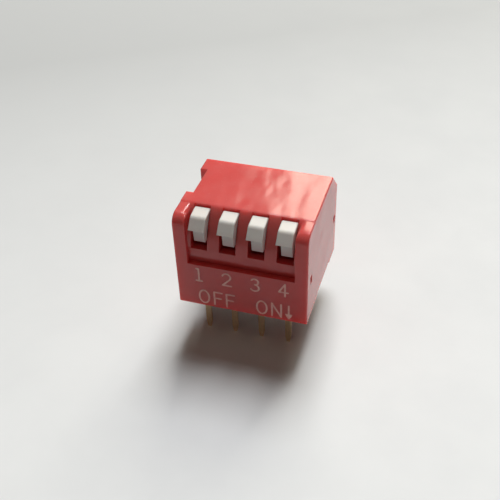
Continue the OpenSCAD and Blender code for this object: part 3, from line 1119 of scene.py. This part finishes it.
@dataclass
class Legend(SubAssembly):
    """The figures and words printed on the front face, under the bay.

    Stroke is half a line's width, and film the ink's thickness.
    """

    stroke: float = 0.075 * MM
    film: float = 0.012 * MM
    figure_foot: float = 2.84 * MM
    figure_height: float = 1.34 * MM
    word_foot: float = 0.34 * MM
    word_height: float = 1.46 * MM
    off_middles: tuple[float, ...] = (-3.45 * MM, -2.15 * MM, -1.02 * MM)
    on_middles: tuple[float, ...] = (1.85 * MM, 3.18 * MM)
    arrow_middle: float = 4.27 * MM
    tip_width: float = 0.02
    around: int = 10
    cap: int = 6
    face: float = field(init=False)

    def build(self) -> None:
        """Prints the four figures, the words for off and on, and the arrow."""
        self.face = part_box("cover")[0].y
        for number in range(1, POSITIONS + 1):
            low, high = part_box(f"contact_clip_{number}")
            spot = Spot((low.x + high.x) / 2.0, self.figure_foot, self.figure_height)
            self._print(f"print_{number}", str(number), spot)
        for word, middles in (("OFF", self.off_middles), ("ON", self.on_middles)):
            for place, (letter, middle) in enumerate(zip(word, middles), start=1):
                spot = Spot(middle, self.word_foot, self.word_height)
                self._print(f"print_{word.lower()}_{place}", letter, spot)
        spot = Spot(self.arrow_middle, self.word_foot, self.word_height)
        self._print("print_arrow", "down", spot)

    def _print(self, name: str, glyph: str, spot: Spot) -> None:
        """Makes one character.

        Args:
            name: the piece's name.
            glyph: its key in GLYPHS.
            spot: where it stands.
        """
        bands = [self._band(points, spot) for points in GLYPHS[glyph]]
        self.keep(new_piece(name, joined(name, bands), PALE_INK), HOUSING_BODY, "ivory_lever")

    def _band(self, points: np.ndarray, spot: Spot) -> bpy.types.Mesh:
        """A film of ink along a path.

        The path carries an ellipse, one stroke to each side and one film thick. At both
        ends its width shrinks as the cosine of the way past the end, which gives a round end.

        Args:
            points: the path, in units of the character's height.
            spot: where the character stands.

        Returns:
            A closed mesh.
        """
        path = np.array([spot.middle, spot.foot]) + points * spot.height
        ahead = np.gradient(path, axis=0)
        ahead /= np.linalg.norm(ahead, axis=1, keepdims=True)
        past = np.linspace(np.pi / 2.0, 0.0, self.cap, endpoint=False)[:, None]
        before = path[:1] - ahead[:1] * self.stroke * np.sin(past)
        after = path[-1:] + ahead[-1:] * self.stroke * np.sin(past[::-1])
        spine = np.concatenate([before, path, after])
        ahead = np.pad(ahead, ((self.cap, self.cap), (0, 0)), mode="edge")
        across = np.stack([-ahead[:, 1], ahead[:, 0]], axis=1)
        width = np.concatenate([np.cos(past), np.ones((len(path), 1)), np.cos(past[::-1])])
        width = np.maximum(width, self.tip_width) * self.stroke
        turn = np.linspace(0.0, 2.0 * np.pi, self.around, endpoint=False)
        flat = spine[:, None, :] + across[:, None, :] * (width * np.cos(turn))[..., None]
        grid = np.empty((len(spine), self.around, 3))
        grid[..., 0] = flat[..., 0]
        grid[..., 1] = self.face - self.film * np.sin(turn)
        grid[..., 2] = flat[..., 1]
        return grid_mesh("stroke", grid)


# ---------------------------------------------------------------------------
# Studio
# ---------------------------------------------------------------------------


@dataclass(frozen=True)
class Lamp:
    """A soft panel: where it hangs and its size, in millimetres, its radiance and its tint."""

    name: str
    place: Place
    size: tuple[float, float]
    radiance: float
    tint: Color

    def build(self, target: Vector) -> None:
        """Hangs the panel. Its power is radiance times pi times its area.

        Args:
            target: the point that it looks at.
        """
        data = bpy.data.lights.new(self.name, "AREA")
        data.shape = "RECTANGLE"
        data.size, data.size_y = (side * MM for side in self.size)
        data.energy = self.radiance * math.pi * data.size * data.size_y
        data.color = self.tint
        lamp = bpy.data.objects.new(self.name, data)
        lamp.location = Vector(self.place) * MM
        lamp.rotation_euler = (target - lamp.location).to_track_quat("-Z", "Y").to_euler()
        bpy.context.scene.collection.objects.link(lamp)


@dataclass(frozen=True)
class Viewpoint:
    """The camera: it looks at aim, in millimetres, from an azimuth right of the front."""

    azimuth: float = 18.56
    elevation: float = 39.07
    roll: float = -2.10
    distance: float = 74.7 * MM
    aim: Place = (-1.24, 1.09, 1.69)
    lens: float = 57.5
    sensor: float = 36.0
    clip: Span = (1.0 * MM, 10.0)

    def build(self) -> None:
        """Places the camera: back from the aim, level, and then rolled about its own axis."""
        turn, rise, roll = (math.radians(a) for a in (self.azimuth, self.elevation, self.roll))
        back = Vector((math.sin(turn) * math.cos(rise), -math.cos(turn) * math.cos(rise),
                       math.sin(rise)))
        level = Vector((0.0, 0.0, 1.0)).cross(back).normalized()
        upright = back.cross(level)
        right = level * math.cos(roll) + upright * math.sin(roll)
        up = upright * math.cos(roll) - level * math.sin(roll)
        data = bpy.data.cameras.new("camera")
        data.lens = self.lens
        data.sensor_width = self.sensor
        data.clip_start, data.clip_end = self.clip
        camera = bpy.data.objects.new("camera", data)
        place = Vector(self.aim) * MM + back * self.distance
        turned = Matrix((right, up, back)).transposed().to_4x4()
        camera.matrix_world = Matrix.Translation(place) @ turned
        bpy.context.scene.collection.objects.link(camera)
        bpy.context.scene.camera = camera


@dataclass(frozen=True)
class Studio:
    """The camera, the lamps, the world and the floor.

    The lamps look at the point lit, in millimetres. Ambient is the strength of the world's light,
    to which mirrored is added in reflections.
    """

    viewpoint: Viewpoint = Viewpoint()
    lamps: tuple[Lamp, ...] = (
        Lamp("overhead_panel", place=(0.0, 263.0, 539.0), size=(212.0, 275.0), radiance=18.3,
             tint=(1.0, 0.99, 0.97)),
        Lamp("window_panel", place=(10.0, 380.0, 285.0), size=(226.0, 200.0), radiance=8.0,
             tint=(1.0, 0.945, 0.79)),
        Lamp("ceiling_panel", place=(0.0, -180.0, 420.0), size=(420.0, 420.0), radiance=0.26,
             tint=(1.0, 0.80, 0.62)),
    )
    lit: Place = (0.0, 0.0, 4.0)
    ambient: float = 0.02
    mirrored: float = 0.42
    fill: Color = (1.0, 0.9, 0.8)
    backdrop: Color = (0.9, 0.9, 0.9)
    floor_half: float = 0.6

    def build(self) -> None:
        """Makes the camera, the lamps, the world and the floor."""
        self.viewpoint.build()
        for lamp in self.lamps:
            lamp.build(Vector(self.lit) * MM)
        self._world()
        self._floor()
        bpy.context.scene.view_settings.view_transform = "Standard"

    def _world(self) -> None:
        """A dim even sky, brighter in reflections, with a pale backdrop for the camera."""
        world = bpy.data.worlds.new("soft_room")
        bpy.context.scene.world = world
        world.use_nodes = True
        tree = Tree.of(world.node_tree)
        ray = tree.add("ShaderNodeLightPath")
        shine = tree.math("MULTIPLY", ray.outputs["Is Glossy Ray"], self.mirrored)
        dim = tree.add("ShaderNodeBackground", {
            "Color": rgba(self.fill), "Strength": tree.math("ADD", shine, self.ambient)})
        pale = tree.add("ShaderNodeBackground", {"Color": rgba(self.backdrop), "Strength": 1.0})
        mixed = tree.add("ShaderNodeMixShader", {
            0: ray.outputs["Is Camera Ray"], 1: dim.outputs[0], 2: pale.outputs[0]})
        tree.add("ShaderNodeOutputWorld", {"Surface": mixed.outputs[0]})

    def _floor(self) -> None:
        """A wide flat square, level with the tips of the pins."""
        side = np.array([-self.floor_half, self.floor_half])
        x, y = np.meshgrid(side, side)
        points = np.stack([x, y, np.full_like(x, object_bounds()[0][2])], axis=-1)
        mesh = grid_mesh("floor", points, close_rows=False, cap_ends=False)
        new_piece("floor", mesh, TableTop())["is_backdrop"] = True


def main() -> None:
    """Loads the frame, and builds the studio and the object."""
    logging.basicConfig(level=logging.INFO, format="%(message)s")
    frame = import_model()
    Studio().build()
    for kind in (Housing, LeverBank, TerminalRows, Legend):
        part = kind(frame["nodes"])
        part.build()
        for piece in part.pieces:
            LOG.info("%s: %s, %d faces", kind.__name__, piece.name, len(piece.data.polygons))


if __name__ == "__main__":
    main()
